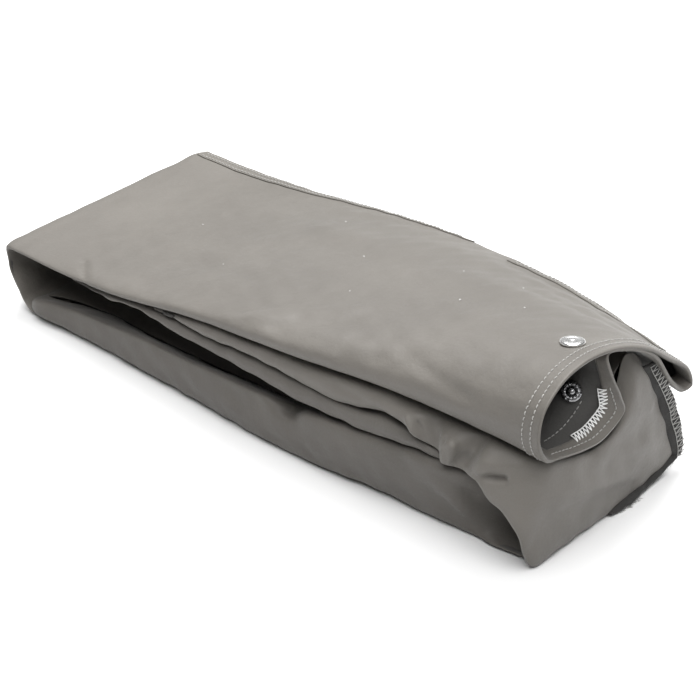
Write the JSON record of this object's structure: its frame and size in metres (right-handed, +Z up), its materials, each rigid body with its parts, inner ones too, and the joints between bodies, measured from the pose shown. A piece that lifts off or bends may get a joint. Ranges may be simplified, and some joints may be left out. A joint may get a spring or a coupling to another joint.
{
  "type": "folded soft bag",
  "caption": "Soft coated-cloth bag folded once into a wedge-shaped bundle, with pleated sides, a serged end panel and an open hemmed mouth closed by a press stud.",
  "frame": {"origin": "centre of the folded bundle's footprint, on the surface it lies on", "axes": "+X along the bundle towards the open mouth, +Y towards the serged seam at the back, +Z up"},
  "size_m": [0.4539, 0.1896, 0.1317],
  "materials": {
    "coated_cloth": "semi-matte coated woven cloth",
    "coated_cloth_shade": "semi-matte coated woven cloth in the pleats",
    "lining": "matte woven reverse of the coated cloth",
    "hem": "turned double hem",
    "serged_edge": "dark overlocked raw edge",
    "pale_thread": "pale grey sewing thread",
    "white_thread": "white overlock thread",
    "stud_metal": "nickel-plated press stud"
  },
  "bodies": {
    "closed_end": {"base_panel": "coated_cloth", "front_wall": "coated_cloth", "lower_pleat": "coated_cloth_shade", "upper_pleat": "coated_cloth_shade", "lower_top": "lining", "lower_back": "coated_cloth", "end_panel": "coated_cloth", "end_seam_allowance": "serged_edge", "base_seam_allowance": "serged_edge", "end_seam_overlock": "pale_thread"},
    "fold_spine": {"fold_outer_ply": "coated_cloth", "fold_inner_ply": "lining"},
    "mouth_end": {"sleeve_floor": "lining", "sleeve_ridge": "lining", "sleeve_back_floor": "lining", "front_roll": "coated_cloth", "back_roll": "coated_cloth", "top_wall": "coated_cloth", "top_wall_back": "coated_cloth", "side_seam_allowance": "serged_edge", "lower_lip_hem": "hem", "lower_lip_stitching": "pale_thread", "lower_lip_overlock": "white_thread", "snap_prong_ring": "stud_metal", "snap_stud": "stud_metal"},
    "mouth_lip": {"mouth_flap": "coated_cloth", "upper_lip_hem": "hem", "rim_stitching": "pale_thread", "hem_stitching": "pale_thread", "snap_cap": "stud_metal", "snap_socket": "stud_metal"}
  },
  "joints": [
    {"name": "fold_lower", "type": "hinge", "parent": "closed_end", "child": "fold_spine", "pos_m": [-0.2133, 0, 0.0012], "axis": [0, -1, 0], "range_deg": [0, 54]},
    {"name": "fold_upper", "type": "hinge", "parent": "fold_spine", "child": "mouth_end", "pos_m": [-0.2253, 0, 0.0465], "axis": [0, -1, 0], "range_deg": [0, 114.48]},
    {"name": "mouth_close", "type": "hinge", "parent": "mouth_end", "child": "mouth_lip", "pos_m": [0.0318, 0, 0.09], "axis": [0, 1, 0], "range_deg": [0, 6.4], "stiffness_Nm_per_rad": 0.6, "springref_deg": -8.59, "deforming": ["sleeve_ridge"]}
  ],
  "couplings": [
    {"joint": "fold_upper", "follows": "fold_lower", "ratio": 2.12}
  ]
}
